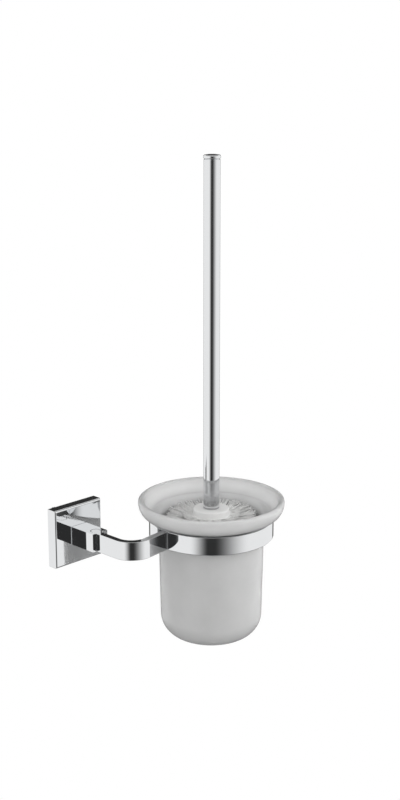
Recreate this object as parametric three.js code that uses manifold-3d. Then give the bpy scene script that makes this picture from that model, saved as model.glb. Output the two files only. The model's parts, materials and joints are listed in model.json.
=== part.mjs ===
// Wall-mounted toilet brush holder: a square wall fixing carries a bent flat arm with a ring, the ring
// carries a glass cup, and a brush with a tubular handle stands in the cup.
// Millimetres. The wall is the plane y = 0, +X runs along it, the holder stands out towards -Y, +Z is up.
import * as THREE from "three";
import * as BufferGeometryUtils from "three/addons/utils/BufferGeometryUtils.js";
import Module from "manifold-3d";

const wasm = await Module();
wasm.setup();

// ---- driving dimensions ----
const COVER_SIDE = 46;
const COVER_DEPTH = 9;
const COVER_WALL = 1.8;
const COVER_FACE = 2.2;
const COVER_BEVEL = 1.5;
const WALL_RELIEF = 0.2; // the cover's rim stops short of the wall, so the bracket bears on it
const BRACKET_SIDE = 38;
const BRACKET_DEPTH = 5;
const BRACKET_POCKET_RADIUS = 7.5;
const BRACKET_WEB = 1.4;
const WALL_SCREW_OFFSET = 12.6; // above and below the middle
const WALL_SCREW_RADIUS = 2.1;
const WALL_SCREW_HEAD_RADIUS = 4;
const WALL_SCREW_LENGTH = 28;
const WALL_SCREW_HEAD_DEPTH = 2.6;
const GRUB_RADIUS = 1.95;
const GRUB_LENGTH = 4.6;
const GRUB_Y = -3;
const GRUB_NOTCH_DEPTH = 1.4;
const HEX_SOCKET_RADIUS = 1.15;
const HEX_SOCKET_DEPTH = 1.8;

const POST_WIDTH = 14.6;
const POST_HEIGHT = 14.4;
const POST_LENGTH = 24.8;
const EDGE_CHAMFER = 0.4;
const BOLT_RADIUS = 2.45;
const BOLT_LENGTH = 15;
const BOLT_HEAD_RADIUS = 4.3;
const BOLT_HEAD_HEIGHT = 2.2;
const WASHER_RADIUS = 5.4;
const WASHER_THICKNESS = 0.7;
const KEY_WIDTH = 3;
const KEY_LENGTH = 1.7;

const STRAP_THICKNESS = 5.2;
const STRAP_OUTER_X = -3.8;
const TENON_WIDTH = 7.4;
const TENON_DEPTH = 8.6;
const BEND_RADIUS = 17.4;
const BEND_CENTRE_Y = -54.4;
const STRAP_TILT = THREE.MathUtils.degToRad(7);

const RING_X = 84.9;
const RING_Y = -68.3;
const RING_RADIUS = 48.6;
const RING_WALL = 4;
const RING_HEIGHT = POST_HEIGHT;
const GASKET_BORE = 41.6;
const GASKET_LIP_RADIUS = 47.8;
const GASKET_LIP = 0.7;

const CUP_BOTTOM = -90;
const CUP_BASE_RADIUS = 39.85;
const CUP_NECK_RADIUS = 41.3;
const CUP_NECK_Z = 4;
const CUP_FILLET = 18;
const GLASS_WALL = 3.2;
const GLASS_FLOOR = 3.5;
const BOWL_SEAT_Z = 8.5;
const BOWL_RADIUS = 57;
const BOWL_RIM_Z = 20;
const RIM_ROUND = 2.3;

const HANDLE_RADIUS = 6.2;
const HANDLE_WALL = 0.8;
const HANDLE_FOOT = 15.5;
const HANDLE_TOP = 282.4;
const CAP_RADIUS = 6.5;
const CAP_HEIGHT = 3.8;
const PLUG_LENGTH = 16;
const STUD_RADIUS = 2.9;
const STUD_BELOW = 12;
const STUD_ABOVE = 11;
const FOOT_WASHER_THICKNESS = 0.8;

const HUB_COLLAR_RADIUS = 14;
const HUB_COLLAR_TOP = 14.4;
const HUB_SHOULDER_RADIUS = 20.5;
const HUB_CORE_RADIUS = 9;
const HUB_CORE_BOTTOM = -65;
const INSERT_RADIUS = 4.6;
const INSERT_DEPTH = 14;
const ROW_COUNT = 7;
const ROW_TOP = 5.6;
const ROW_PITCH = 10;
const ROW_HEIGHT = 8.8;
const BRISTLE_RADIUS = 34;
const TOP_ROW_RADIUS = 31;
const TIP_BOTTOM = -86;
const TIP_ROUND = 20;

const GAP = 0.3; // clearance between meshes that meet
const FINE_SEGMENTS = 72;
const ROUND_SEGMENTS = 48;
const SMALL_SEGMENTS = 24;

// ---- finishes ----
const chrome = { color: 0xe4e6e8, roughness: 0.06, metalness: 1 };
const castZinc = { color: 0x9b9ea1, roughness: 0.5, metalness: 0.8 };
const steel = { color: 0xb9bcc0, roughness: 0.3, metalness: 1 };
const brass = { color: 0xc2a35a, roughness: 0.35, metalness: 1 };
const clearPlastic = { color: 0xdfe3e4, roughness: 0.35, metalness: 0 };
const frostedGlass = { color: 0xcdd3d1, roughness: 0.6, metalness: 0 };
const whitePlastic = { color: 0xf1f1ee, roughness: 0.4, metalness: 0 };
const greyRubber = { color: 0x5a5a5c, roughness: 0.8, metalness: 0 };
const nylon = { color: 0xf6f6f3, roughness: 0.7, metalness: 0 };

// ---- solid helpers ----
function weld(geometry) {
  const bare = geometry.clone();
  bare.deleteAttribute("normal");
  bare.deleteAttribute("uv");
  const merged = BufferGeometryUtils.mergeVertices(bare, 1e-4);
  const index = merged.index.array;
  const kept = [];
  for (let i = 0; i < index.length; i += 3) {
    const [a, b, c] = [index[i], index[i + 1], index[i + 2]];
    if (a !== b && b !== c && c !== a) kept.push(a, b, c);
  }
  merged.setIndex(kept);
  return merged;
}

function toManifold(geometry) {
  const welded = weld(geometry);
  return new wasm.Manifold(new wasm.Mesh({
    numProp: 3,
    vertProperties: new Float32Array(welded.attributes.position.array),
    triVerts: new Uint32Array(welded.index.array),
  }));
}

function toGeometry(manifold) {
  const mesh = manifold.getMesh();
  const geometry = new THREE.BufferGeometry();
  geometry.setAttribute("position", new THREE.BufferAttribute(mesh.vertProperties, 3));
  geometry.setIndex(new THREE.BufferAttribute(mesh.triVerts, 1));
  return geometry;
}

function cut(body, ...tools) {
  return toGeometry(tools.reduce((rest, tool) => rest.subtract(toManifold(tool)), toManifold(body)));
}

function join(...bodies) {
  return toGeometry(bodies.map(toManifold).reduce((sum, next) => sum.add(next)));
}

// Turns a profile of [radius, z] points about the Z axis; it runs up the outside and down the inside.
function turned(points, segments) {
  const profile = points.map(([r, z]) => new THREE.Vector2(r, z));
  return weld(new THREE.LatheGeometry(profile, segments).rotateX(Math.PI / 2));
}

function cylinder(radius, low, high, segments = SMALL_SEGMENTS) {
  return turned([[0, low], [radius, low], [radius, high], [0, high]], segments);
}

// The same solids with their axis turned from +Z to -Y, so that z becomes the distance from the wall.
function outward(geometry) {
  return geometry.rotateX(Math.PI / 2);
}

function sideways(geometry) {
  return geometry.rotateY(Math.PI / 2);
}

function block(width, depth, height, x, y, z) {
  return new THREE.BoxGeometry(width, depth, height).translate(x, y, z);
}

function ellipse(centreR, centreZ, radiusR, radiusZ, fromDeg, toDeg, steps) {
  return Array.from({ length: steps + 1 }, (_, i) => {
    const angle = THREE.MathUtils.degToRad(fromDeg + (toDeg - fromDeg) * i / steps);
    return [centreR + radiusR * Math.cos(angle), centreZ + radiusZ * Math.sin(angle)];
  });
}

// A rectangular outline with its corners cut off.
function chamferedRectangle(width, height, chamfer) {
  const [w, h, c] = [width / 2, height / 2, chamfer];
  return new THREE.Shape([
    [w - c, -h], [w, -h + c], [w, h - c], [w - c, h],
    [-w + c, h], [-w, h - c], [-w, -h + c], [-w + c, -h],
  ].map(([x, y]) => new THREE.Vector2(x, y)));
}

// A bar along -Y, between two distances from the wall.
function bar(shape, from, to) {
  const extruded = new THREE.ExtrudeGeometry(shape, { depth: to - from, bevelEnabled: false });
  return outward(extruded.translate(0, 0, from));
}

function hexSocket(low, high) {
  return turned([[0, low], [HEX_SOCKET_RADIUS, low], [HEX_SOCKET_RADIUS, high], [0, high]], 6);
}

// A grub screw along Z from low to high, with its hex socket in the low end.
function grubScrew(radius, low, high) {
  return cut(cylinder(radius, low, high), hexSocket(low - 1, low + HEX_SOCKET_DEPTH));
}

// ---- wall fixing ----
const half = COVER_SIDE / 2;
const coverInside = COVER_DEPTH - COVER_FACE;

function wallBracket() {
  const plate = bar(chamferedRectangle(BRACKET_SIDE, BRACKET_SIDE, 2), 0, BRACKET_DEPTH);
  const pocket = outward(cylinder(BRACKET_POCKET_RADIUS, BRACKET_WEB, BRACKET_DEPTH + 1));
  const notch = block(5, BRACKET_DEPTH + 2, 2 * GRUB_NOTCH_DEPTH, 0, -BRACKET_DEPTH / 2, -BRACKET_SIDE / 2);
  const head = WALL_SCREW_HEAD_RADIUS + 0.25;
  const shank = WALL_SCREW_RADIUS + 0.3;
  const holes = [-1, 1].map((side) => outward(turned([
    [0, -1], [shank, -1], [shank, BRACKET_DEPTH - WALL_SCREW_HEAD_DEPTH],
    [head, BRACKET_DEPTH - 0.4], [head, BRACKET_DEPTH + 1], [0, BRACKET_DEPTH + 1],
  ], SMALL_SEGMENTS)).translate(0, 0, side * WALL_SCREW_OFFSET));
  return cut(plate, pocket, notch, ...holes);
}

function wallScrew() {
  const headTop = BRACKET_DEPTH - 0.3;
  const headBottom = headTop - WALL_SCREW_HEAD_DEPTH + 0.4;
  const tip = headTop - WALL_SCREW_LENGTH;
  const body = turned([
    [0, tip], [0.4, tip], [WALL_SCREW_RADIUS, tip + 5], [WALL_SCREW_RADIUS, headBottom],
    [WALL_SCREW_HEAD_RADIUS, headTop - 0.4], [WALL_SCREW_HEAD_RADIUS, headTop], [0, headTop],
  ], SMALL_SEGMENTS);
  const slotA = block(4.4, 0.9, 2.4, 0, 0, headTop);
  const slotB = block(0.9, 4.4, 2.4, 0, 0, headTop);
  return outward(cut(body, slotA, slotB));
}

function wallCover() {
  const corner = half * Math.SQRT2;
  const frontCorner = (half - COVER_BEVEL) * Math.SQRT2;
  const shell = outward(turned([
    [0, WALL_RELIEF], [corner, WALL_RELIEF], [corner, COVER_DEPTH - COVER_BEVEL],
    [frontCorner, COVER_DEPTH], [0, COVER_DEPTH],
  ], 4).rotateZ(Math.PI / 4));
  const inner = COVER_SIDE - 2 * COVER_WALL;
  const hollow = block(inner, coverInside + 4, inner, 0, (4 - coverInside) / 2, 0);
  const boltHole = outward(cylinder(BOLT_RADIUS + 0.3, 0, COVER_DEPTH + 1));
  const keyHole = block(KEY_WIDTH + 0.6, 6, KEY_WIDTH + 0.6, 0, -COVER_DEPTH, 5);
  const grubHole = cylinder(GRUB_RADIUS + 0.1, -half - 1, -half + 4).translate(0, GRUB_Y, 0);
  return cut(shell, hollow, boltHole, keyHole, grubHole);
}

// ---- post and its bolt ----
const postFront = COVER_DEPTH + POST_LENGTH;
const tenonCentreX = STRAP_OUTER_X + TENON_WIDTH / 2;
const setScrewY = -postFront + 4;

function post() {
  const back = COVER_DEPTH + 0.05;
  const body = bar(chamferedRectangle(POST_WIDTH, POST_HEIGHT, EDGE_CHAMFER), back, postFront);
  const key = block(KEY_WIDTH, KEY_LENGTH + 2, KEY_WIDTH, 0, -back + KEY_LENGTH / 2 - 1, 5);
  const bore = outward(cylinder(BOLT_RADIUS + 0.1, COVER_DEPTH - 3, COVER_DEPTH + BOLT_LENGTH - 1.5));
  const slotWidth = TENON_WIDTH + 0.3;
  const slotEnd = -(postFront - TENON_DEPTH) - slotWidth / 2 + 0.2;
  const slotRound = cylinder(slotWidth / 2, -POST_HEIGHT, POST_HEIGHT).translate(tenonCentreX, slotEnd, 0);
  const slotBox = block(slotWidth, 12, 2 * POST_HEIGHT, tenonCentreX, slotEnd - 6, 0);
  const screwHole = sideways(cylinder(GRUB_RADIUS + 0.1, 0, POST_WIDTH)).translate(0, setScrewY, 0);
  return cut(join(body, key), bore, slotRound, slotBox, screwHole);
}

function postBolt() {
  const seat = coverInside - WASHER_THICKNESS - 0.1;
  const head = outward(cylinder(BOLT_HEAD_RADIUS, seat - BOLT_HEAD_HEIGHT, seat));
  const shank = outward(cylinder(BOLT_RADIUS, seat - 1, seat + BOLT_LENGTH));
  const socket = outward(hexSocket(seat - BOLT_HEAD_HEIGHT - 1, seat - 0.7));
  return cut(join(head, shank), socket);
}

function postWasher() {
  const low = coverInside - WASHER_THICKNESS - 0.05;
  const high = coverInside - 0.05;
  const bore = BOLT_RADIUS + 0.2;
  return outward(turned([[bore, low], [WASHER_RADIUS, low], [WASHER_RADIUS, high], [bore, high], [bore, low]],
    SMALL_SEGMENTS));
}

function strapSetScrew() {
  const inner = STRAP_OUTER_X + TENON_WIDTH + 0.2;
  return sideways(grubScrew(GRUB_RADIUS, -POST_WIDTH / 2 + 0.3, -inner).rotateY(Math.PI))
    .translate(0, setScrewY, 0);
}

// ---- arm and ring ----
// Where a line from a point, heading at an angle, first meets the circle round the ring's axis.
function meetRing(x, y, heading, radius) {
  const [dx, dy] = [Math.cos(heading), Math.sin(heading)];
  const along = (RING_X - x) * dx + (RING_Y - y) * dy;
  const offset = (RING_X - x) * dy - (RING_Y - y) * dx;
  const reach = along - Math.sqrt(radius * radius - offset * offset);
  return [x + dx * reach, y + dy * reach];
}

function armStrap() {
  const outerX = STRAP_OUTER_X;
  const bendX = outerX + BEND_RADIUS;
  const innerRadius = BEND_RADIUS - STRAP_THICKNESS;
  const bendEnd = -Math.PI / 2 + STRAP_TILT;
  const endRadius = RING_RADIUS + 0.15;
  const onBend = (radius) => [bendX + radius * Math.cos(bendEnd), BEND_CENTRE_Y + radius * Math.sin(bendEnd)];
  const outerEnd = meetRing(...onBend(BEND_RADIUS), STRAP_TILT, endRadius);
  const innerEnd = meetRing(...onBend(innerRadius), STRAP_TILT, endRadius);
  const angleOf = ([x, y]) => Math.atan2(y - RING_Y, x - RING_X);
  const tenonRadius = TENON_WIDTH / 2;
  const tenonY = -(postFront - TENON_DEPTH) - tenonRadius;
  const outline = new THREE.Shape();
  outline.moveTo(outerX, tenonY);
  outline.lineTo(outerX, BEND_CENTRE_Y);
  outline.absarc(bendX, BEND_CENTRE_Y, BEND_RADIUS, -Math.PI, bendEnd, false);
  outline.lineTo(...outerEnd);
  outline.absarc(RING_X, RING_Y, endRadius, angleOf(outerEnd), angleOf(innerEnd), true);
  outline.lineTo(...onBend(innerRadius));
  outline.absarc(bendX, BEND_CENTRE_Y, innerRadius, bendEnd, -Math.PI, true);
  outline.lineTo(outerX + STRAP_THICKNESS, -postFront - 0.1);
  outline.lineTo(outerX + TENON_WIDTH, -postFront - 0.1);
  outline.lineTo(outerX + TENON_WIDTH, tenonY);
  outline.absarc(outerX + tenonRadius, tenonY, tenonRadius, 0, Math.PI, false);
  return new THREE.ExtrudeGeometry(outline, { depth: POST_HEIGHT, curveSegments: 20, bevelEnabled: false })
    .translate(0, 0, -POST_HEIGHT / 2);
}

function cupRing() {
  const [outer, inner, top, c] = [RING_RADIUS, RING_RADIUS - RING_WALL, RING_HEIGHT / 2, EDGE_CHAMFER];
  return turned([
    [inner + c, -top], [outer - c, -top], [outer, -top + c], [outer, top - c],
    [outer - c, top], [inner + c, top], [inner, top - c], [inner, -top + c], [inner + c, -top],
  ], FINE_SEGMENTS);
}

function ringGasket() {
  const outer = RING_RADIUS - RING_WALL - GAP;
  const top = RING_HEIGHT / 2 + GAP;
  return turned([
    [GASKET_BORE, -RING_HEIGHT / 2 + 0.4], [outer, -RING_HEIGHT / 2 + 0.4], [outer, top],
    [GASKET_LIP_RADIUS, top], [GASKET_LIP_RADIUS, top + GASKET_LIP], [46, top + GASKET_LIP],
    [GASKET_BORE, 3], [GASKET_BORE, -RING_HEIGHT / 2 + 0.4],
  ], FINE_SEGMENTS);
}

// ---- glass cup ----
function glassCup() {
  const neckWidth = 4.3;
  const bowlCentre = BOWL_RADIUS - 9.5;
  const rimCentre = BOWL_RADIUS - RIM_ROUND;
  const innerNeck = CUP_NECK_RADIUS - GLASS_WALL;
  const innerBase = CUP_BASE_RADIUS - GLASS_WALL;
  const innerFillet = CUP_FILLET - GLASS_WALL;
  const filletR = CUP_BASE_RADIUS - CUP_FILLET;
  const filletZ = CUP_BOTTOM + CUP_FILLET;
  const innerFloor = CUP_BOTTOM + GLASS_FLOOR;
  const innerBowlZ = BOWL_SEAT_Z + 3.6;
  const innerBowlWidth = 6.2;
  const innerLip = rimCentre - RIM_ROUND;
  return turned([
    [0, CUP_BOTTOM],
    ...ellipse(filletR, filletZ, CUP_FILLET, CUP_FILLET, -90, 0, 8),
    ...ellipse(CUP_NECK_RADIUS + neckWidth, CUP_NECK_Z, neckWidth, BOWL_SEAT_Z - CUP_NECK_Z, 180, 90, 5),
    ...ellipse(bowlCentre, BOWL_RIM_Z, BOWL_RADIUS - bowlCentre, BOWL_RIM_Z - BOWL_SEAT_Z, -90, 0, 7),
    ...ellipse(rimCentre, BOWL_RIM_Z, RIM_ROUND, RIM_ROUND, 30, 180, 5),
    ...ellipse(innerLip - innerBowlWidth, BOWL_RIM_Z, innerBowlWidth, BOWL_RIM_Z - innerBowlZ, -18, -90, 5),
    ...ellipse(innerNeck + 7.3, CUP_NECK_Z, 7.3, innerBowlZ - CUP_NECK_Z, 90, 180, 6),
    ...ellipse(innerBase - innerFillet, innerFloor + innerFillet, innerFillet, innerFillet, 0, -90, 7),
    [0, innerFloor],
  ], FINE_SEGMENTS);
}

// ---- handle ----
function handleTube() {
  const inner = HANDLE_RADIUS - HANDLE_WALL;
  return turned([
    [inner, HANDLE_FOOT], [HANDLE_RADIUS - 0.4, HANDLE_FOOT], [HANDLE_RADIUS, HANDLE_FOOT + 0.4],
    [HANDLE_RADIUS, HANDLE_TOP], [inner, HANDLE_TOP], [inner, HANDLE_FOOT],
  ], ROUND_SEGMENTS);
}

function handleCap() {
  const spigot = HANDLE_RADIUS - HANDLE_WALL - 0.15;
  const seat = HANDLE_TOP + 0.1;
  return turned([
    [0, HANDLE_TOP - PLUG_LENGTH], [spigot, HANDLE_TOP - PLUG_LENGTH], [spigot, seat], [CAP_RADIUS, seat],
    ...ellipse(CAP_RADIUS - 1.4, HANDLE_TOP + CAP_HEIGHT - 2, 1.4, 1.4, 0, 65, 3),
    [0, HANDLE_TOP + CAP_HEIGHT],
  ], ROUND_SEGMENTS);
}

function handlePlug() {
  const outer = HANDLE_RADIUS - HANDLE_WALL - 0.15;
  const bore = STUD_RADIUS + 0.15;
  const low = HANDLE_FOOT + 0.1;
  const high = HANDLE_FOOT + PLUG_LENGTH;
  return turned([[bore, low], [outer, low], [outer, high], [bore, high], [bore, low]], SMALL_SEGMENTS);
}

function joiningStud() {
  return cylinder(STUD_RADIUS, HANDLE_FOOT - STUD_BELOW, HANDLE_FOOT + STUD_ABOVE);
}

function footWasher() {
  const bore = STUD_RADIUS + 0.25;
  const high = HANDLE_FOOT - 0.1;
  const low = high - FOOT_WASHER_THICKNESS;
  return turned([[bore, low], [HANDLE_RADIUS, low], [HANDLE_RADIUS, high], [bore, high], [bore, low]],
    SMALL_SEGMENTS);
}

// ---- brush head ----
function brushHub() {
  const pocketFloor = HUB_COLLAR_TOP - INSERT_DEPTH - 0.3;
  const pocket = INSERT_RADIUS + 0.15;
  return turned([
    [0, HUB_CORE_BOTTOM], [HUB_CORE_RADIUS, HUB_CORE_BOTTOM], [HUB_CORE_RADIUS, ROW_TOP + 1],
    [HUB_SHOULDER_RADIUS, ROW_TOP + 1], [HUB_SHOULDER_RADIUS, ROW_TOP + 3.6],
    [HUB_COLLAR_RADIUS - 1, ROW_TOP + 5.4], [HUB_COLLAR_RADIUS, ROW_TOP + 6],
    [HUB_COLLAR_RADIUS, HUB_COLLAR_TOP - 1], [HUB_COLLAR_RADIUS - 1.2, HUB_COLLAR_TOP],
    [pocket, HUB_COLLAR_TOP], [pocket, pocketFloor], [0, pocketFloor],
  ], ROUND_SEGMENTS);
}

function hubInsert() {
  const bore = STUD_RADIUS + 0.15;
  const high = HUB_COLLAR_TOP;
  const low = high - INSERT_DEPTH;
  return turned([[bore, low], [INSERT_RADIUS, low], [INSERT_RADIUS, high], [bore, high], [bore, low]],
    SMALL_SEGMENTS);
}

function bristleRow(index) {
  const high = ROW_TOP - index * ROW_PITCH;
  const low = high - ROW_HEIGHT;
  const inner = HUB_CORE_RADIUS + GAP;
  const outer = index === 0 ? TOP_ROW_RADIUS : BRISTLE_RADIUS;
  return turned([
    [inner, low], [outer, low], [outer, high], [inner, high], [inner, low],
  ], ROUND_SEGMENTS);
}

function bristleTip() {
  const roundR = BRISTLE_RADIUS - TIP_ROUND;
  const top = HUB_CORE_BOTTOM - GAP;
  return turned([
    [0, TIP_BOTTOM],
    ...ellipse(roundR, TIP_BOTTOM + TIP_ROUND, TIP_ROUND, TIP_ROUND, -90, 0, 6),
    [BRISTLE_RADIUS, top], [0, top],
  ], ROUND_SEGMENTS);
}

// ---- assembly ----
const group = new THREE.Group();
const wallFixing = new THREE.Group();
const cupAndBrush = new THREE.Group();
cupAndBrush.position.set(RING_X, RING_Y, 0);
group.add(wallFixing, cupAndBrush);

function add(parent, name, geometry, finish) {
  const mesh = new THREE.Mesh(weld(geometry), new THREE.MeshStandardMaterial(finish));
  mesh.name = name;
  parent.add(mesh);
  return mesh;
}

add(wallFixing, "wall_bracket", wallBracket(), castZinc);
add(wallFixing, "wall_screw_upper", wallScrew(), steel).position.set(0, 0, WALL_SCREW_OFFSET);
add(wallFixing, "wall_screw_lower", wallScrew(), steel).position.set(0, 0, -WALL_SCREW_OFFSET);
add(wallFixing, "wall_cover", wallCover(), chrome);
add(wallFixing, "cover_grub_screw", grubScrew(GRUB_RADIUS, 0, GRUB_LENGTH), steel)
  .position.set(0, GRUB_Y, -half + 0.3);
add(wallFixing, "post", post(), chrome);
add(wallFixing, "post_bolt", postBolt(), steel);
add(wallFixing, "post_washer", postWasher(), steel);
add(wallFixing, "strap_set_screw", strapSetScrew(), steel);
add(wallFixing, "arm_strap", armStrap(), chrome);
add(cupAndBrush, "cup_ring", cupRing(), chrome);
add(cupAndBrush, "ring_gasket", ringGasket(), clearPlastic);
add(cupAndBrush, "glass_cup", glassCup(), frostedGlass);
add(cupAndBrush, "handle_tube", handleTube(), chrome);
add(cupAndBrush, "handle_cap", handleCap(), chrome);
add(cupAndBrush, "handle_plug", handlePlug(), brass);
add(cupAndBrush, "joining_stud", joiningStud(), steel);
add(cupAndBrush, "foot_washer", footWasher(), greyRubber);
add(cupAndBrush, "brush_hub", brushHub(), whitePlastic);
add(cupAndBrush, "hub_insert", hubInsert(), brass);
for (let row = 0; row < ROW_COUNT; row += 1) {
  add(cupAndBrush, `bristle_row_${row + 1}`, bristleRow(row), nylon);
}
add(cupAndBrush, "bristle_tip", bristleTip(), nylon);

export default group;
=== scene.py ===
"""Wall-mounted toilet brush holder: finished surfaces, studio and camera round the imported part."""

import json
import math

import bmesh
import bpy
from bpy.props import FloatProperty, FloatVectorProperty, IntProperty, PointerProperty
from mathutils import Matrix, Vector


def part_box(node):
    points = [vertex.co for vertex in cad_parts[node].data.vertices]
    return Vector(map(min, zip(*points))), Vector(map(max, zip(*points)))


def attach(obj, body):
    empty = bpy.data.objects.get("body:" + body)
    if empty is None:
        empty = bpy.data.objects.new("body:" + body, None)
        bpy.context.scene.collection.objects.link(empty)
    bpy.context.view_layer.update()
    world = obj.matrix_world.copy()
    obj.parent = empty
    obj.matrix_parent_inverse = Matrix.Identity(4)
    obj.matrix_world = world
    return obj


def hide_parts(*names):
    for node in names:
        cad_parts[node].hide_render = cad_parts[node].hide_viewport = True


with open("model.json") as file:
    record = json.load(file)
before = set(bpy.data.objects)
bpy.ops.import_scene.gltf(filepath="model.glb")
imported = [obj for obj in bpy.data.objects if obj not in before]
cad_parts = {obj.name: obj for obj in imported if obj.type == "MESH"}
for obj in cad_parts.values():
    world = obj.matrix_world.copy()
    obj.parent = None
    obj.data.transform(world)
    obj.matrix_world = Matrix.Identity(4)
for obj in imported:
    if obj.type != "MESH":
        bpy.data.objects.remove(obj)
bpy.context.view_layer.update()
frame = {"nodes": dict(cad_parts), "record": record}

bl_info = {
    "name": "Toilet brush holder",
    "version": (1, 0, 0),
    "blender": (4, 5, 0),
    "location": "View3D > Sidebar > Brush Holder",
    "description": "Builds the finished surfaces of a wall-mounted toilet brush holder round its frame",
    "category": "Add Mesh",
}

MM = 0.001
PANEL_TAB = "Brush Holder"


def slot_colour(slot):
    """The colour that the record gives a material slot, as four numbers."""
    materials = frame["record"]["materials"]
    colour = next(m["base_color"] for m in materials if m["slot"] == slot)
    return tuple(colour[:3]) + (1.0,)


def box_middle(node):
    """The middle of a CAD node's box."""
    low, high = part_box(node)
    return (low + high) / 2


def box_radius(node):
    """Half of a round CAD node's width."""
    low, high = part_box(node)
    return (high.x - low.x) / 2


# ---------------------------------------------------------------- settings


def colour_property(title, slot):
    return FloatVectorProperty(
        name=title,
        description=f"Colour of the {title.lower()}",
        subtype="COLOR",
        size=4,
        min=0.0,
        max=1.0,
        default=slot_colour(slot),
    )


def length_property(title, about, millimetres):
    return FloatProperty(
        name=title,
        description=about,
        default=millimetres * MM,
        min=0.0,
        unit="LENGTH",
        subtype="DISTANCE",
    )


class FinishColours(bpy.types.PropertyGroup):
    """Colours of the finishes."""

    chrome: colour_property("Chrome", "chrome")
    handle_chrome: colour_property("Handle chrome", "handle_chrome")
    cast_zinc: colour_property("Zinc casting", "cast_zinc")
    screw_steel: colour_property("Screw steel", "screw_steel")
    brass: colour_property("Brass", "brass")
    clear_plastic: colour_property("Clear plastic", "clear_plastic")
    frosted_glass: colour_property("Frosted glass", "frosted_glass")
    white_plastic: colour_property("White plastic", "white_plastic")
    grey_rubber: colour_property("Grey rubber", "grey_rubber")
    nylon_bristle: colour_property("Nylon", "nylon_bristle")


class EdgeSizes(bpy.types.PropertyGroup):
    """Small edge sizes that the finished pieces add to the frame's shapes."""

    cover_bevel: length_property("Cover round", "Rounding of the cover's front edges", 1.5)
    edge_round: length_property("Edge round", "Rounding of the chromed edges", 0.22)
    block_round: length_property("Post round", "Rounding of the post's edges", 0.4)
    root_round: length_property("Post root", "Rounding of the post's end at the cover", 1.7)
    strap_round: length_property("Strap round", "Rounding of the strap's edges", 0.7)
    ring_round: length_property("Ring round", "Rounding of the ring's edges", 0.6)


class BristleSizes(bpy.types.PropertyGroup):
    """How the brush head is tufted."""

    tufts: IntProperty(name="Tufts", description="Tufts in one row", default=30, min=6, max=60)
    filaments: IntProperty(
        name="Filaments", description="Filaments in one tuft", default=18, min=3, max=40
    )
    filament_radius: length_property("Filament radius", "Half of a filament's thickness", 0.26)
    hole_radius: length_property("Hole radius", "Half of a tuft's width at the core", 1.6)
    fan: FloatProperty(
        name="Fan", description="How far a tuft spreads sideways", default=0.1, subtype="ANGLE"
    )
    seed: IntProperty(name="Seed", description="Seed of the scatter", default=7)


class StudioSizes(bpy.types.PropertyGroup):
    """Floor, surround, lights and camera."""

    floor_drop: length_property("Floor drop", "How far the floor lies below the wall point", 760)
    surround_radius: length_property("Surround radius", "Radius of the reflected surround", 1300)
    surround_top: length_property("Surround top", "Height of the surround's upper edge", 900)
    ceiling_radius: length_property("Ceiling card", "Radius of the card overhead", 800)
    world_strength: FloatProperty(
        name="World", description="Brightness of the white room", default=1.0, min=0.0
    )
    fill_power: FloatProperty(
        name="Fill", description="Power of the soft light from the right", default=2.0,
        min=0.0, unit="POWER",
    )
    lens: FloatProperty(
        name="Lens", description="Focal length on a 36 mm sensor", default=60.08, min=10.0
    )
    camera_azimuth: FloatProperty(
        name="Camera azimuth", description="Turn of the camera round the vertical",
        default=math.radians(-45.416), subtype="ANGLE",
    )
    camera_pitch: FloatProperty(
        name="Camera pitch", description="How far the camera looks down",
        default=math.radians(14.123), subtype="ANGLE",
    )
    camera_place: FloatVectorProperty(
        name="Camera place", description="Where the camera stands", size=3,
        subtype="TRANSLATION", default=(-0.6244, -0.7550, 0.3544),
    )
    camera_shift: FloatProperty(
        name="Camera shift", description="Vertical lens shift", default=-0.0081, precision=4
    )


class HolderSettings(bpy.types.PropertyGroup):
    """All settings of the brush holder."""

    colours: PointerProperty(type=FinishColours)
    edges: PointerProperty(type=EdgeSizes)
    bristles: PointerProperty(type=BristleSizes)
    studio: PointerProperty(type=StudioSizes)


def settings():
    return bpy.context.scene.brush_holder


# ---------------------------------------------------------------- node trees


class Value:
    """A node's output that takes part in arithmetic: each operator adds one Math node."""

    def __init__(self, graph, socket):
        self.graph, self.socket = graph, socket

    def _maths(self, operation, first, second):
        return self.graph.node("ShaderNodeMath", {"operation": operation}, {0: first, 1: second})

    def __add__(self, other):
        return self._maths("ADD", self, other)

    def __radd__(self, other):
        return self._maths("ADD", other, self)

    def __sub__(self, other):
        return self._maths("SUBTRACT", self, other)

    def __rsub__(self, other):
        return self._maths("SUBTRACT", other, self)

    def __mul__(self, other):
        return self._maths("MULTIPLY", self, other)

    def __truediv__(self, other):
        return self._maths("DIVIDE", self, other)

    def __pow__(self, other):
        return self._maths("POWER", self, other)


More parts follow.
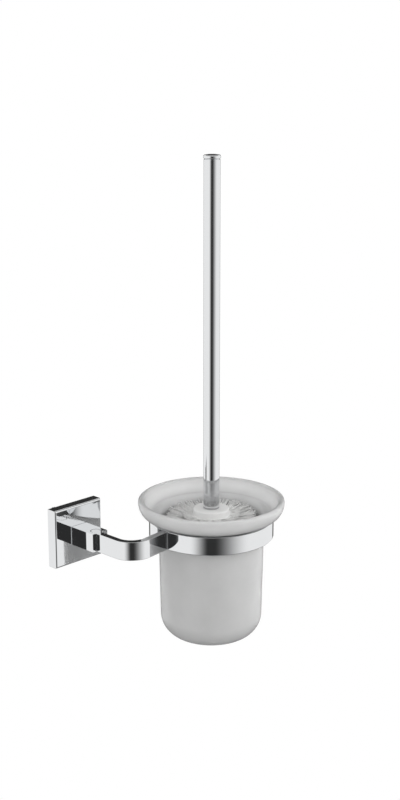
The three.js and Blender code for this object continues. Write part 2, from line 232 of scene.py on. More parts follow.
class Graph:
    """A node tree. node() adds any node: its settings first, then its sockets' values or links."""

    def __init__(self, tree):
        self.tree = tree
        tree.nodes.clear()

    def node(self, kind, options=None, sockets=None, output=0):
        made = self.tree.nodes.new(kind)
        for key, value in (options or {}).items():
            setattr(made, key, value)
        for key, value in (sockets or {}).items():
            if isinstance(value, Value):
                self.tree.links.new(value.socket, made.inputs[key])
            else:
                made.inputs[key].default_value = value
        return Value(self, made.outputs[output]) if made.outputs else None

    def place(self):
        """The point on the piece, in metres."""
        return self.node("ShaderNodeTexCoord", output="Object")

    def stretched(self, scale, centre=(0.0, 0.0, 0.0)):
        """The point on the piece, measured from a centre and stretched along each axis."""
        moved = self.node(
            "ShaderNodeVectorMath", {"operation": "SUBTRACT"}, {0: self.place(), 1: centre}
        )
        return self.node("ShaderNodeVectorMath", {"operation": "MULTIPLY"}, {0: moved, 1: scale})

    def noise(self, scale, detail=3.0, roughness=0.5, vector=None):
        return self.node(
            "ShaderNodeTexNoise", {"noise_dimensions": "3D"},
            {"Vector": vector or self.place(), "Scale": scale, "Detail": detail,
             "Roughness": roughness},
        )

    def blend(self, amount, first, second):
        """A colour between two, by a value from 0 to 1."""
        return self.node(
            "ShaderNodeMix", {"data_type": "RGBA"}, {0: amount, 6: first, 7: second}, output=2
        )

    def bump(self, height, strength, distance):
        return self.node(
            "ShaderNodeBump", None,
            {"Height": height, "Strength": strength, "Distance": distance}, output="Normal",
        )

    def between(self, value, low, high):
        """0 below low, 1 above high, smooth in between."""
        return self.node(
            "ShaderNodeMapRange", {"interpolation_type": "SMOOTHSTEP"},
            {"Value": value, "From Min": low, "From Max": high},
        )


def shade(colour, amount):
    """A colour made darker or lighter by a factor."""
    return tuple(min(1.0, c * amount) for c in colour[:3]) + (1.0,)


# ---------------------------------------------------------------- finishes


def chrome_finish(graph, colour):
    smudge = graph.noise(38.0, 5.0, 0.55) ** 3.0
    ripple = graph.noise(26.0, 1.0)
    return {
        "Base Color": graph.blend(graph.noise(300.0, 2.0), colour, shade(colour, 0.985)),
        "Roughness": 0.02 + smudge * 0.12,
        "Normal": graph.bump(ripple, 0.02, 0.0004),
    }


def drawn_chrome_finish(graph, colour):
    """Chrome on a drawn tube: faint lines run along it."""
    lines = graph.noise(1.0, 4.0, 0.6, graph.stretched((1400.0, 1400.0, 9.0)))
    smudge = graph.noise(22.0, 4.0, 0.5) ** 3.0
    return {
        "Base Color": graph.blend(lines, colour, shade(colour, 0.98)),
        "Roughness": 0.015 + lines * 0.03 + smudge * 0.08,
        "Normal": graph.bump(lines, 0.015, 0.0001),
    }


def cast_finish(graph, colour):
    grain = graph.noise(1500.0, 4.0, 0.65)
    patches = graph.noise(90.0, 3.0)
    return {
        "Base Color": graph.blend(patches, shade(colour, 0.8), shade(colour, 1.1)),
        "Roughness": 0.42 + grain * 0.22,
        "Normal": graph.bump(grain + patches * 0.4, 0.35, 0.0002),
    }


def plated_finish(graph, colour):
    grain = graph.noise(800.0, 3.0)
    patches = graph.noise(140.0, 3.0)
    return {
        "Base Color": graph.blend(patches, shade(colour, 0.85), shade(colour, 1.08)),
        "Roughness": 0.24 + grain * 0.16,
        "Normal": graph.bump(grain, 0.12, 0.0001),
    }


def machined_finish(graph, colour):
    """Turned metal: fine rings round the upright axis."""
    rings = graph.noise(1.0, 3.0, 0.6, graph.stretched((40.0, 40.0, 5200.0)))
    return {
        "Base Color": graph.blend(rings, shade(colour, 0.86), shade(colour, 1.1)),
        "Roughness": 0.26 + rings * 0.2,
        "Normal": graph.bump(rings, 0.25, 0.0001),
    }


def soft_plastic_painted_shade_finish(graph, colour):
    grain = graph.noise(900.0, 3.0)
    return {
        # Painted shade: the gasket's colour is darkened to about half, so that it draws a dark line
        # between the glass and the ring.
        "Base Color": graph.blend(graph.noise(60.0), shade(colour, 0.5), shade(colour, 0.6)),
        "Roughness": 0.3 + grain * 0.15,
        "Normal": graph.bump(grain, 0.08, 0.0001),
    }


def frosted_finish(graph, colour):
    """Etched glass: an even grain, with cloudy patches of lighter and darker tone that partly stand in as
    painted shade of the bristles behind the glass, in a neutral grey.
    """
    colour = (sum(colour[:3]) / 3 + 0.16,) * 3 + (1.0,)
    grain = graph.noise(2600.0, 2.0, 0.6)
    clouds_and_bristle_shade = graph.noise(46.0, 4.0, 0.6)
    return {
        # Painted shade in part: the cloud noise darkens and lightens the glass's colour where the
        # bristles' shadows would show through.
        "Base Color": graph.blend(clouds_and_bristle_shade, shade(colour, 0.9), shade(colour, 1.06)),
        "Roughness": 0.17 + clouds_and_bristle_shade * 0.12,
        "Normal": graph.bump(grain, 0.12, 0.0001),
    }


def moulded_finish(graph, colour):
    peel = graph.noise(420.0, 2.0)
    return {
        "Base Color": graph.blend(graph.noise(70.0, 3.0), shade(colour, 0.86), shade(colour, 0.93)),
        "Roughness": 0.3 + peel * 0.12,
        "Normal": graph.bump(peel, 0.1, 0.0002),
    }


def rubber_finish(graph, colour):
    grain = graph.noise(1900.0, 4.0, 0.6)
    return {
        "Base Color": graph.blend(graph.noise(300.0), shade(colour, 0.85), shade(colour, 1.1)),
        "Roughness": 0.62 + grain * 0.2,
        "Normal": graph.bump(grain, 0.2, 0.0001),
    }


def nylon_finish(graph, colour):
    strands = graph.noise(1100.0, 2.0)
    return {
        "Base Color": graph.blend(strands, shade(colour, 0.74), shade(colour, 0.96)),
        "Roughness": 0.36 + strands * 0.16,
        "Normal": graph.bump(strands, 0.1, 0.0001),
    }


FINISHES = {
    "chrome": (chrome_finish, {"Metallic": 1.0}),
    "handle_chrome": (drawn_chrome_finish, {"Metallic": 1.0}),
    "cast_zinc": (cast_finish, {"Metallic": 0.8}),
    "screw_steel": (plated_finish, {"Metallic": 1.0}),
    "brass": (machined_finish, {"Metallic": 1.0}),
    "clear_plastic": (soft_plastic_painted_shade_finish, {"Transmission Weight": 0.35, "IOR": 1.45}),
    "frosted_glass": (frosted_finish, {"Transmission Weight": 0.55, "IOR": 1.45}),
    "white_plastic": (moulded_finish, {"Coat Roughness": 0.2, "IOR": 1.5}),
    "grey_rubber": (rubber_finish, {"IOR": 1.5}),
    "nylon_bristle": (nylon_finish, {"IOR": 1.53}),
}


def finish(slot):
    """The material of one finish, made on first use."""
    made = bpy.data.materials.get(slot)
    if made and made.get("finish_ready"):
        return made
    made = bpy.data.materials.new(slot)
    made.name = slot
    made.use_nodes = True
    graph = Graph(made.node_tree)
    recipe, constants = FINISHES[slot]
    varying = recipe(graph, tuple(getattr(settings().colours, slot)))
    surface = graph.node("ShaderNodeBsdfPrincipled", None, {**constants, **varying})
    graph.node("ShaderNodeOutputMaterial", None, {"Surface": surface})
    made["finish_ready"] = True
    return made


# ---------------------------------------------------------------- mesh helpers


def arc(centre, radii, start, end, steps):
    """Points of an upright ellipse arc, from one angle in degrees to another."""
    turns = [math.radians(start + (end - start) * i / steps) for i in range(steps + 1)]
    return [(centre[0] + radii[0] * math.cos(t), centre[1] + radii[1] * math.sin(t)) for t in turns]


def rounded(corners, steps=4):
    """A closed outline from (x, y, radius) corners, with each corner rounded by its radius."""
    outline = []
    for i, (x, y, radius) in enumerate(corners):
        corner = Vector((x, y))
        before = Vector(corners[i - 1][:2]) - corner
        after = Vector(corners[(i + 1) % len(corners)][:2]) - corner
        if radius <= 0:
            outline.append((x, y))
            continue
        half = before.angle(after) / 2
        reach = radius / math.tan(half)
        start, end = corner + before.normalized() * reach, corner + after.normalized() * reach
        centre = corner + (before.normalized() + after.normalized()).normalized() * (
            radius / math.sin(half)
        )
        first, last = start - centre, end - centre
        turn = first.angle_signed(last)
        for step in range(steps + 1):
            spoke = first.copy()
            spoke.rotate(Matrix.Rotation(-turn * step / steps, 2))
            outline.append(tuple(centre + spoke))
    return outline


def new_piece(name, bm, slot):
    """A finished bmesh as an object with its material, faces outwards and smooth."""
    bmesh.ops.recalc_face_normals(bm, faces=bm.faces)
    mesh = bpy.data.meshes.new(name)
    bm.to_mesh(mesh)
    bm.free()
    mesh.shade_smooth()
    mesh.materials.append(finish(slot))
    piece = bpy.data.objects.new(name, mesh)
    bpy.context.scene.collection.objects.link(piece)
    return piece


def settle(piece):
    """Turns a piece's modifiers into its plain mesh."""
    bpy.context.view_layer.update()
    graph = bpy.context.evaluated_depsgraph_get()
    mesh = bpy.data.meshes.new_from_object(piece.evaluated_get(graph))
    old = piece.data
    piece.modifiers.clear()
    piece.data = mesh
    bpy.data.meshes.remove(old)
    mesh.name = piece.name
    return piece


def even_normals(piece):
    """Keeps flat faces flat beside their rounded edges."""
    weighting = piece.modifiers.new("weighting", "WEIGHTED_NORMAL")
    weighting.weight = 100
    return settle(piece)


def turned_bmesh(outline, centre, segments):
    """A solid of revolution of an (r, z) outline round the upright line through centre."""
    bm = bmesh.new()
    open_ended = outline[0][0] < 1e-7 and outline[-1][0] < 1e-7
    rings = []
    for r, z in outline:
        if r < 1e-7:
            rings.append([bm.verts.new((centre.x, centre.y, z))])
            continue
        rings.append([
            bm.verts.new((
                centre.x + r * math.cos(math.tau * k / segments),
                centre.y + r * math.sin(math.tau * k / segments), z,
            ))
            for k in range(segments)
        ])
    pairs = list(zip(rings, rings[1:]))
    if not open_ended:
        pairs.append((rings[-1], rings[0]))
    for lower, upper in pairs:
        for k in range(segments):
            after = (k + 1) % segments
            corners = [lower[k % len(lower)], lower[after % len(lower)],
                       upper[after % len(upper)], upper[k % len(upper)]]
            corners = list(dict.fromkeys(corners))
            if len(corners) > 2:
                bm.faces.new(corners)
    return bm


def turned(name, outline, slot, centre, segments=128):
    return even_normals(new_piece(name, turned_bmesh(outline, centre, segments), slot))


def slab_bmesh(outline, low, high):
    """A flat outline in the XY plane given thickness between two heights."""
    bm = bmesh.new()
    bottom = bm.faces.new([bm.verts.new((x, y, low)) for x, y in outline])
    grown = bmesh.ops.extrude_face_region(bm, geom=[bottom])
    lifted = [v for v in grown["geom"] if isinstance(v, bmesh.types.BMVert)]
    bmesh.ops.translate(bm, verts=lifted, vec=(0, 0, high - low))
    return bm


def rod_bmesh(radius, start, end, segments=48):
    """A plain cutter between two points."""
    bm = bmesh.new()
    line = Vector(end) - Vector(start)
    turn = line.to_track_quat("Z", "Y").to_matrix().to_4x4()
    bmesh.ops.create_cone(
        bm, cap_ends=True, segments=segments, radius1=radius, radius2=radius, depth=line.length,
        matrix=Matrix.Translation((Vector(start) + Vector(end)) / 2) @ turn,
    )
    return bm


def carve(piece, cutter_bmesh):
    """Cuts a shape out of a piece."""
    mesh = bpy.data.meshes.new("cutter")
    cutter_bmesh.to_mesh(mesh)
    cutter_bmesh.free()
    cutter = bpy.data.objects.new("cutter", mesh)
    bpy.context.scene.collection.objects.link(cutter)
    cut = piece.modifiers.new("cut", "BOOLEAN")
    cut.operation, cut.solver, cut.object = "DIFFERENCE", "EXACT", cutter
    settle(piece)
    bpy.data.objects.remove(cutter)
    bpy.data.meshes.remove(mesh)
    return piece


def soften(piece, width, segments=3, angle=30.0):
    """Rounds a piece's hard edges. width(start, end) gives the rounding of one edge."""
    bm = bmesh.new()
    bm.from_mesh(piece.data)
    bmesh.ops.dissolve_limit(bm, angle_limit=math.radians(0.5), verts=bm.verts, edges=bm.edges)
    layer = bm.edges.layers.float.new("bevel_weight_edge")
    hard = [e for e in bm.edges
            if len(e.link_faces) == 2 and e.calc_face_angle(0.0) > math.radians(angle)]
    widths = [width(e.verts[0].co, e.verts[1].co) for e in hard]
    for edge, size in zip(hard, widths):
        edge[layer] = size / max(widths)
    bm.to_mesh(piece.data)
    bm.free()
    bevel = piece.modifiers.new("round", "BEVEL")
    bevel.width, bevel.segments = max(widths), segments
    bevel.limit_method = "WEIGHT"
    bevel.use_clamp_overlap = True
    return even_normals(piece)


def fit(piece, body, slot, *nodes):
    """Puts a finished piece on its body in place of its CAD nodes."""
    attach(piece, body)
    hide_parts(*nodes)
    return piece


# ---------------------------------------------------------------- wall fixing


def wall_cover():
    """The square cover: a shell with rounded front edges, open towards the wall."""
    low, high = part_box("wall_cover")
    edges = settings().edges
    wall, face = 1.8 * MM, 2.2 * MM
    bm = bmesh.new()
    outer = [(low.x, low.z), (high.x, low.z), (high.x, high.z), (low.x, high.z)]
    rim, front = high.y, low.y

    def loop(y, inset):
        sides = [(-1, -1), (1, -1), (1, 1), (-1, 1)]
        return [bm.verts.new((x - sx * inset, y, z - sz * inset))
                for (x, z), (sx, sz) in zip(outer, sides)]

    loops = [loop(front, 0.0), loop(rim, 0.0), loop(rim, wall), loop(front + face, wall)]
    for before, after in zip(loops, loops[1:]):
        for k in range(4):
            bm.faces.new([before[k], before[(k + 1) % 4], after[(k + 1) % 4], after[k]])
    bm.faces.new(loops[0])
    bm.faces.new(loops[-1])
    cover = new_piece("wall_cover_shell", bm, "chrome")
    grub = box_middle("cover_grub_screw")
    carve(cover, rod_bmesh(2.05 * MM, (grub.x, grub.y, low.z - 5 * MM), (grub.x, grub.y, low.z + 4 * MM)))

    def width(start, end):
        on_front = start.y < front + 0.01 * MM and end.y < front + 0.01 * MM
        return edges.cover_bevel if on_front else edges.edge_round

    return fit(soften(cover, width, 6), "holder", "chrome", "wall_cover")


def post():
    """The square post, slotted at its front end for the strap."""
    low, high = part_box("post")
    middle = (low.x + high.x) / 2
    half = (high.x - low.x) / 2
    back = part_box("wall_cover")[0].y - 0.05 * MM
    front = low.y
    slot_x, slot_half, slot_y = -0.1 * MM, 4.1 * MM, -28.85 * MM
    bend = arc((slot_x, slot_y), (slot_half, slot_half), 180, 0, 32)
    outline = [
        (middle - half, back), (middle - half, front), (slot_x - slot_half, front),
        *bend, (slot_x + slot_half, front), (middle + half, front), (middle + half, back),
    ]
    block = new_piece("post_block", slab_bmesh(outline, low.z, high.z), "chrome")
    screw = box_middle("strap_set_screw")
    inside, outside = (Vector((screw.x + reach * MM, screw.y, screw.z)) for reach in (-4, 9))
    carve(block, rod_bmesh(2.05 * MM, inside, outside))
    edges = settings().edges

    def width(start, end):
        at_root = start.y > back - 0.01 * MM and end.y > back - 0.01 * MM
        return edges.root_round if at_root else edges.block_round

    return fit(soften(block, width), "holder", "chrome", "post")


# ---------------------------------------------------------------- arm and ring


def meet_circle(start, heading, centre, radius):
    """Where a line from a point first meets a circle."""
    way = Vector((math.cos(heading), math.sin(heading)))
    to_centre = centre - start
    along, offset = to_centre.dot(way), to_centre.x * way.y - to_centre.y * way.x
    return start + way * (along - math.sqrt(radius * radius - offset * offset))


def arm_strap():
    """The flat arm: its tenon in the post, one round bend, and an end brazed to the ring."""
    low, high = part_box("arm_strap")
    thickness, tenon, radius = 5.2 * MM, 7.4 * MM, 17.4 * MM
    tilt = math.radians(7)
    outer_x, bend = low.x, Vector((low.x + radius, -54.4 * MM))
    post_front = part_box("post")[0].y - 0.1 * MM
    tenon_y = high.y - tenon / 2
    axis = box_middle("cup_ring").xy
    reach = box_radius("cup_ring") + 0.05 * MM
    end_angle = -90 + math.degrees(tilt)

    def on_bend(r):
        turn = math.radians(end_angle)
        return bend + Vector((math.cos(turn), math.sin(turn))) * r

    outer_end = meet_circle(on_bend(radius), tilt, axis, reach)
    inner_end = meet_circle(on_bend(radius - thickness), tilt, axis, reach)
    angles = [math.degrees(math.atan2(*(p - axis).yx)) for p in (outer_end, inner_end)]
    angles = [a % 360 for a in angles]
    outline = [
        *arc(bend, (radius, radius), -180, end_angle, 48),
        *arc(axis, (reach, reach), angles[0], angles[1], 12),
        *arc(bend, (radius - thickness,) * 2, end_angle, -180, 48),
        (outer_x + thickness, post_front), (outer_x + tenon, post_front),
        *arc((outer_x + tenon / 2, tenon_y), (tenon / 2,) * 2, 0, 180, 24),
    ]
    strap = new_piece("arm_strap_bar", slab_bmesh(outline, low.z, high.z), "chrome")
    edges = settings().edges
    return fit(soften(strap, lambda *_: edges.strap_round), "holder", "chrome", "arm_strap")


def cup_ring():
    """The flat-sided ring that holds the cup."""
    low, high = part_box("cup_ring")
    outer, inner = box_radius("cup_ring"), box_radius("cup_ring") - 4 * MM
    r = settings().edges.ring_round
    outline = rounded([(inner, low.z, r), (outer, low.z, r), (outer, high.z, r), (inner, high.z, r)])
    ring = turned("cup_ring_band", outline, "chrome", box_middle("cup_ring"), 288)
    return fit(ring, "holder", "chrome", "cup_ring")


def ring_gasket():
    """The soft ring between the glass and the metal, with a lip on the ring's top."""
    low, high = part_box("ring_gasket")
    bore, body, lip = 41.6 * MM, 44.3 * MM, box_radius("ring_gasket") - 1.1 * MM
    step = high.z - 0.7 * MM
    outline = rounded([
        (bore, low.z, 0.4 * MM), (body, low.z, 0.4 * MM), (body, step, 0), (lip, step, 0.15 * MM),
        (lip, high.z, 0.3 * MM), (46 * MM, high.z, 0.2 * MM), (bore, 3 * MM, 0.5 * MM),
    ], 3)
    gasket = turned("cup_gasket", outline, "clear_plastic", box_middle("ring_gasket"), 192)
    return fit(gasket, "seat", "clear_plastic", "ring_gasket")


# ---------------------------------------------------------------- glass


def glass_cup():
    """The frosted cup: a round-bottomed body, a neck and a wide shallow bowl with a rolled rim."""
    low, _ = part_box("glass_cup")
    bottom = low.z / MM
    base, neck, wall, floor = 39.85, 41.3, 3.2, 3.5
    fillet, neck_z, neck_width = 18.0, 4.0, 4.3
    seat_z, rim_z, rim_round = 8.5, 20.0, 2.3
    bowl = box_radius("glass_cup") / MM
    shelf = bowl - 9.5
    rim = bowl - rim_round
    lip = rim - rim_round
    inner_neck, inner_base, inner_fillet = neck - wall, base - wall, fillet - wall
    inner_floor, inner_bowl_z, inner_width, inner_rise = bottom + floor, seat_z + 3.6, 6.2, 7.3
    outer_base = arc((base - fillet, bottom + fillet), (fillet, fillet), -90, 0, 18)
    outer_bowl = arc((shelf, rim_z), (bowl - shelf, rim_z - seat_z), -90, 0, 16)
    inner_base_arc = arc(
        (inner_base - inner_fillet, inner_floor + inner_fillet), (inner_fillet,) * 2, 0, -90, 16
    )
    outline = [
        (0.0, bottom), *outer_base,
        *arc((neck + neck_width, neck_z), (neck_width, seat_z - neck_z), 180, 90, 12), *outer_bowl,
        *arc((rim, rim_z), (rim_round, rim_round), 24, 180, 14),
        *arc((lip - inner_width, rim_z), (inner_width, rim_z - inner_bowl_z), -12, -90, 12),
        *arc((inner_neck + inner_rise, neck_z), (inner_rise, inner_bowl_z - neck_z), 90, 180, 14),
        *inner_base_arc, (0.0, inner_floor),
    ]
    outline = [(r * MM, z * MM) for r, z in outline]
    cup = turned("glass_cup_shell", outline, "frosted_glass", box_middle("glass_cup"), 192)
    return fit(cup, "cup", "frosted_glass", "glass_cup")


# ---------------------------------------------------------------- handle


def handle_tube():
    low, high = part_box("handle_tube")
    outer, inner = box_radius("handle_tube"), box_radius("handle_tube") - 0.8 * MM
    outline = rounded([
        (inner, low.z, 0.1 * MM), (outer, low.z, 0.35 * MM),
        (outer, high.z, 0.08 * MM), (inner, high.z, 0.08 * MM),
    ])
    tube = turned("handle_tube_skin", outline, "handle_chrome", box_middle("handle_tube"), 128)
    return fit(tube, "handle", "handle_chrome", "handle_tube")


def handle_cap():
    """The cap: a crowned button on a spigot, with a fine groove where it meets the tube."""
    low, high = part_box("handle_cap")
    radius = box_radius("handle_cap")
    tube_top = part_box("handle_tube")[1]
    seat = tube_top.z + 0.1 * MM
    spigot = tube_top.x - box_middle("handle_tube").x - 0.95 * MM
    corner, crown, neck, gap = 1.25 * MM, 0.4 * MM, 5.6 * MM, 0.6 * MM
    shoulder = arc((radius - corner, high.z - crown - corner), (corner, corner), 0, 80, 10)
    outline = [
        (0.0, low.z), (spigot - 0.3 * MM, low.z), (spigot, low.z + 0.3 * MM), (spigot, seat),
        (neck, seat), (neck, seat + gap), (radius - 0.25 * MM, seat + gap),
        (radius, seat + gap + 0.25 * MM), *shoulder,
        (radius * 0.5, high.z - crown * 0.25), (radius * 0.2, high.z - crown * 0.04), (0.0, high.z),
    ]
    cap = turned("handle_cap_button", outline, "handle_chrome", box_middle("handle_cap"), 128)
    return fit(cap, "handle", "handle_chrome", "handle_cap")


def foot_washer():
    low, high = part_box("foot_washer")
    outer, inner = box_radius("foot_washer"), 3.15 * MM
    r = 0.2 * MM
    outline = rounded([(inner, low.z, r), (outer, low.z, r), (outer, high.z, r), (inner, high.z, r)])
    washer = turned("foot_washer_ring", outline, "grey_rubber", box_middle("foot_washer"), 96)
    return fit(washer, "washer", "grey_rubber", "foot_washer")


# ---------------------------------------------------------------- brush head


def brush_hub():
    """The moulded hub: a collar for the handle, a shoulder over the bristles and a core below."""
    low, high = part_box("brush_hub")
    collar, shoulder, core, pocket = 14 * MM, box_radius("brush_hub"), 9 * MM, 4.75 * MM
    row_top = 5.6 * MM
    outline = rounded([
        (core, low.z, 1.2 * MM), (core, row_top + 1 * MM, 0.3 * MM),
        (shoulder, row_top + 1 * MM, 0.5 * MM), (shoulder, row_top + 2.6 * MM, 0.8 * MM),
        (collar, row_top + 3.6 * MM, 0.8 * MM), (collar, high.z, 1.0 * MM),
        (pocket, high.z, 0.2 * MM), (pocket, high.z - 14.3 * MM, 0),
    ])
    outline = [(0.0, low.z), *outline, (0.0, high.z - 14.3 * MM)]
    hub = turned("brush_hub_moulding", outline, "white_plastic", box_middle("brush_hub"), 128)
    return fit(hub, "brush", "white_plastic", "brush_hub")


def tuft_tree():
    """A Geometry Nodes tree that sets rings of tufts, each a bundle of straight filaments."""
    tree = bpy.data.node_groups.new("tufts", "GeometryNodeTree")
    tree.interface.new_socket("Geometry", in_out="OUTPUT", socket_type="NodeSocketGeometry")
    names = {}

    def ask(name, kind):
        names[name] = tree.interface.new_socket(name, in_out="INPUT", socket_type=kind).identifier

    for name in ("Tufts", "Filaments", "Seed"):
        ask(name, "NodeSocketInt")
    for name in ("Root Radius", "Root Height", "Tip Radius", "Tip Height", "Hole Radius",
                 "Tip Rise", "Tip Reach", "Fan", "Filament Radius"):
        ask(name, "NodeSocketFloat")
    ask("Centre", "NodeSocketVector")
    ask("Material", "NodeSocketMaterial")
    graph = Graph(tree)

    def given(name):
        return graph.node("NodeGroupInput", output=name)

    def scatter(channel):
        return graph.node(
            "FunctionNodeRandomValue", {"data_type": "FLOAT"},
            {2: -1.0, 3: 1.0, "ID": graph.node("GeometryNodeInputIndex"),
             "Seed": given("Seed") * 16.0 + float(channel)}, output=1,
        )

    def maths(operation, value):
        return graph.node("ShaderNodeMath", {"operation": operation}, {0: value})

    tuft = maths("FLOOR", (graph.node("GeometryNodeInputIndex") + 0.25) / given("Filaments"))
    angle = tuft * math.tau / given("Tufts") + given("Seed") * 0.37

    def at(radius, turn, height):
        return graph.node(
            "ShaderNodeCombineXYZ", None,
            {"X": maths("COSINE", turn) * radius, "Y": maths("SINE", turn) * radius, "Z": height},
        )

    root = at(
        given("Root Radius"), angle + scatter(1) * given("Hole Radius") / given("Root Radius"),
        given("Root Height") + scatter(2) * given("Hole Radius"),
    )
    tip = at(
        given("Tip Radius") * (1.0 + (scatter(3) - 1.0) * given("Tip Reach")),
        angle + scatter(4) * given("Fan"),
        given("Tip Height") + scatter(5) * given("Tip Rise"),
    )
    way = graph.node("ShaderNodeVectorMath", {"operation": "SUBTRACT"}, {0: tip, 1: root})
    length = graph.node("ShaderNodeVectorMath", {"operation": "LENGTH"}, {0: way}, output="Value")
    rod = graph.node(
        "GeometryNodeMeshCylinder", {"fill_type": "NGON"},
        {"Vertices": 5, "Side Segments": 1, "Radius": 1.0, "Depth": 1.0}, output="Mesh",
    )
    rod = graph.node("GeometryNodeTransform", None, {"Geometry": rod, "Translation": (0, 0, 0.5)})
    place = graph.node(
        "ShaderNodeVectorMath", {"operation": "ADD"}, {0: root, 1: given("Centre")}
    )
    points = graph.node(
        "GeometryNodePoints", None,
        {"Count": given("Tufts") * given("Filaments"), "Position": place},
    )
    thick = given("Filament Radius")
    size = graph.node("ShaderNodeCombineXYZ", None, {"X": thick, "Y": thick, "Z": length})
    aim = graph.node("FunctionNodeAlignRotationToVector", {"axis": "Z"}, {"Vector": way})
    placed = graph.node(
        "GeometryNodeInstanceOnPoints", None,
        {"Points": points, "Instance": rod, "Rotation": aim, "Scale": size},
    )
    solid = graph.node("GeometryNodeRealizeInstances", None, {"Geometry": placed})
    painted = graph.node(
        "GeometryNodeSetMaterial", None, {"Geometry": solid, "Material": given("Material")}
    )
    graph.node("NodeGroupOutput", None, {"Geometry": painted})
    return tree, names


def tuft_ring(trees, name, root, tip, rise, seed, tufts, ragged=0.015, fan=1.0):
    """One ring of tufts as an object with a plain mesh. root and tip are (radius, height)."""
    tree, names = trees
    sizes = settings().bristles
    ring = bpy.data.objects.new(name, bpy.data.meshes.new(name))
    bpy.context.scene.collection.objects.link(ring)
    growth = ring.modifiers.new("tufts", "NODES")
    growth.node_group = tree
    middle = box_middle("brush_hub")
    values = {
        "Tufts": tufts, "Filaments": sizes.filaments, "Seed": sizes.seed + seed,
        "Root Radius": root[0], "Root Height": root[1], "Tip Radius": tip[0],
        "Tip Height": tip[1], "Hole Radius": sizes.hole_radius, "Tip Rise": rise,
        "Tip Reach": ragged, "Fan": sizes.fan * fan, "Filament Radius": sizes.filament_radius,
        "Centre": (middle.x, middle.y, 0.0), "Material": finish("nylon_bristle"),
    }
    for label, value in values.items():
        growth[names[label]] = value
    return settle(ring)


def joined(name, parts):
    """Several plain meshes made one object."""
    bm = bmesh.new()
    for part in parts:
        bm.from_mesh(part.data)
        mesh = part.data
        bpy.data.objects.remove(part)
        bpy.data.meshes.remove(mesh)
    return new_piece(name, bm, "nylon_bristle")


def top_tiers(middle):
    """The splayed tufts under the collar: (root, tip, scatter, tufts) from low to high."""
    return [
        ((8.6 * MM, middle), (36.2 * MM, middle + 2.5 * MM), 1.8 * MM, 36),
        ((12.0 * MM, middle + 2.5 * MM), (35.8 * MM, middle + 7.5 * MM), 2.2 * MM, 32),
        ((12.6 * MM, middle + 5.5 * MM), (23.0 * MM, middle + 9.0 * MM), 2.0 * MM, 17),
    ]


def bristle_rows():
    """The rows of tufts round the core, and the tufts that close the tip."""
    trees = tuft_tree()
    sizes = settings().bristles
    core = 8.6 * MM
    rows = sorted(n for n in frame["nodes"] if n.startswith("bristle_row_"))
    for index, node in enumerate(rows):
        low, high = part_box(node)
        middle = (low.z + high.z) / 2
        reach = box_radius(node) - 0.2 * MM
        rise = (high.z - low.z) / 2 - sizes.filament_radius
        if index == 0:
            ring = joined(f"{node}_tufts", [
                tuft_ring(trees, f"top_{i}", root, tip, scatter, 40 + i, tufts, 0.06, 1.6)
                for i, (root, tip, scatter, tufts) in enumerate(top_tiers(middle))
            ])
        else:
            ring = tuft_ring(
                trees, f"{node}_tufts", (core, middle), (reach, middle), rise, index, sizes.tufts
            )
            ring.data.shade_smooth()
        fit(ring, "brush", "nylon_bristle", node)
    low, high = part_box("bristle_tip")
    top, reach = high.z, box_radius("bristle_tip") - 0.3 * MM
    depth = top - low.z
    cones = [(0.99, 0.2, 30), (0.93, 0.5, 26), (0.76, 0.79, 20), (0.5, 0.94, 14), (0.2, 0.985, 7)]
    parts = [
        tuft_ring(
            trees, f"cone_{i}", (core * (0.2 + 0.7 * wide), top - 0.1 * depth * (1 - wide)),
            (reach * wide, top - depth * deep), 1.6 * MM, 20 + i, tufts,
        )
        for i, (wide, deep, tufts) in enumerate(cones)
    ]
    fit(joined("bristle_tip_tufts", parts), "brush", "nylon_bristle", "bristle_tip")


# ---------------------------------------------------------------- screws and hidden fittings


